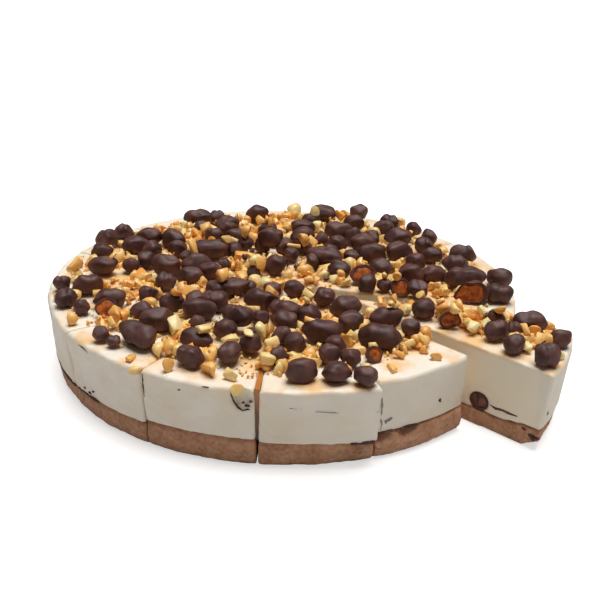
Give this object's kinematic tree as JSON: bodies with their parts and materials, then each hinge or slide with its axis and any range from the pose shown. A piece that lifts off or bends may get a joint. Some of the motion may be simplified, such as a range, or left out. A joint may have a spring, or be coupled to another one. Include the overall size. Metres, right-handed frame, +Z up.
{
  "type": "caramel chocolate cheesecake",
  "caption": "Round caramel chocolate cheesecake cut into slices, a slice of it drawn out, with a biscuit base, set cream and a heap of coated caramels and chopped nuts.",
  "frame": {"origin": "middle of the underside of the whole cake's box, on the surface it stands on", "axes": "+Z up, -Y towards the front of the cake as the picture shows it, +X to the right, the side where the slice is drawn out"},
  "size_m": [0.2834, 0.2638, 0.0609],
  "materials": {
    "biscuit": "crumbly and matte",
    "cream": "smooth and softly matte, with knife streaks",
    "topping": "chopped nuts, slightly oily",
    "chocolate": "satin coated chocolate",
    "caramel": "glossy cut caramel"
  },
  "bodies": {
    "root": {"biscuit_01": "biscuit", "biscuit_02": "biscuit", "biscuit_03": "biscuit", "biscuit_04": "biscuit", "biscuit_05": "biscuit", "biscuit_06": "biscuit", "biscuit_07": "biscuit", "biscuit_08": "biscuit", "biscuit_09": "biscuit", "biscuit_10": "biscuit", "biscuit_11": "biscuit", "biscuit_12": "biscuit", "biscuit_13": "biscuit", "biscuit_14": "biscuit", "chocolate_01_1": "chocolate", "chocolate_01_2": "chocolate", "chocolate_01_3": "chocolate", "chocolate_02_1": "chocolate", "chocolate_03_1": "chocolate", "chocolate_03_2": "chocolate", "chocolate_03_3": "chocolate", "chocolate_03_4": "chocolate", "chocolate_04_1": "chocolate", "chocolate_04_2": "chocolate", "chocolate_12_1": "chocolate", "chocolate_12_2": "chocolate", "chocolate_13_1": "chocolate", "chocolate_14_1": "chocolate", "cream_01": "cream", "cream_02": "cream", "cream_03": "cream", "cream_04": "cream", "cream_05": "cream", "cream_06": "cream", "cream_07": "cream", "cream_08": "cream", "cream_09": "cream", "cream_10": "cream", "cream_11": "cream", "cream_12": "cream", "cream_13": "cream", "cream_14": "cream", "half_chocolate_03": "chocolate", "topping_01": "topping", "topping_02": "topping", "topping_03": "topping", "topping_04": "topping", "topping_05": "topping", "topping_06": "topping", "topping_07": "topping", "topping_08": "topping", "topping_09": "topping", "topping_10": "topping", "topping_11": "topping", "topping_12": "topping", "topping_13": "topping", "topping_14": "topping"}
  },
  "joints": []
}
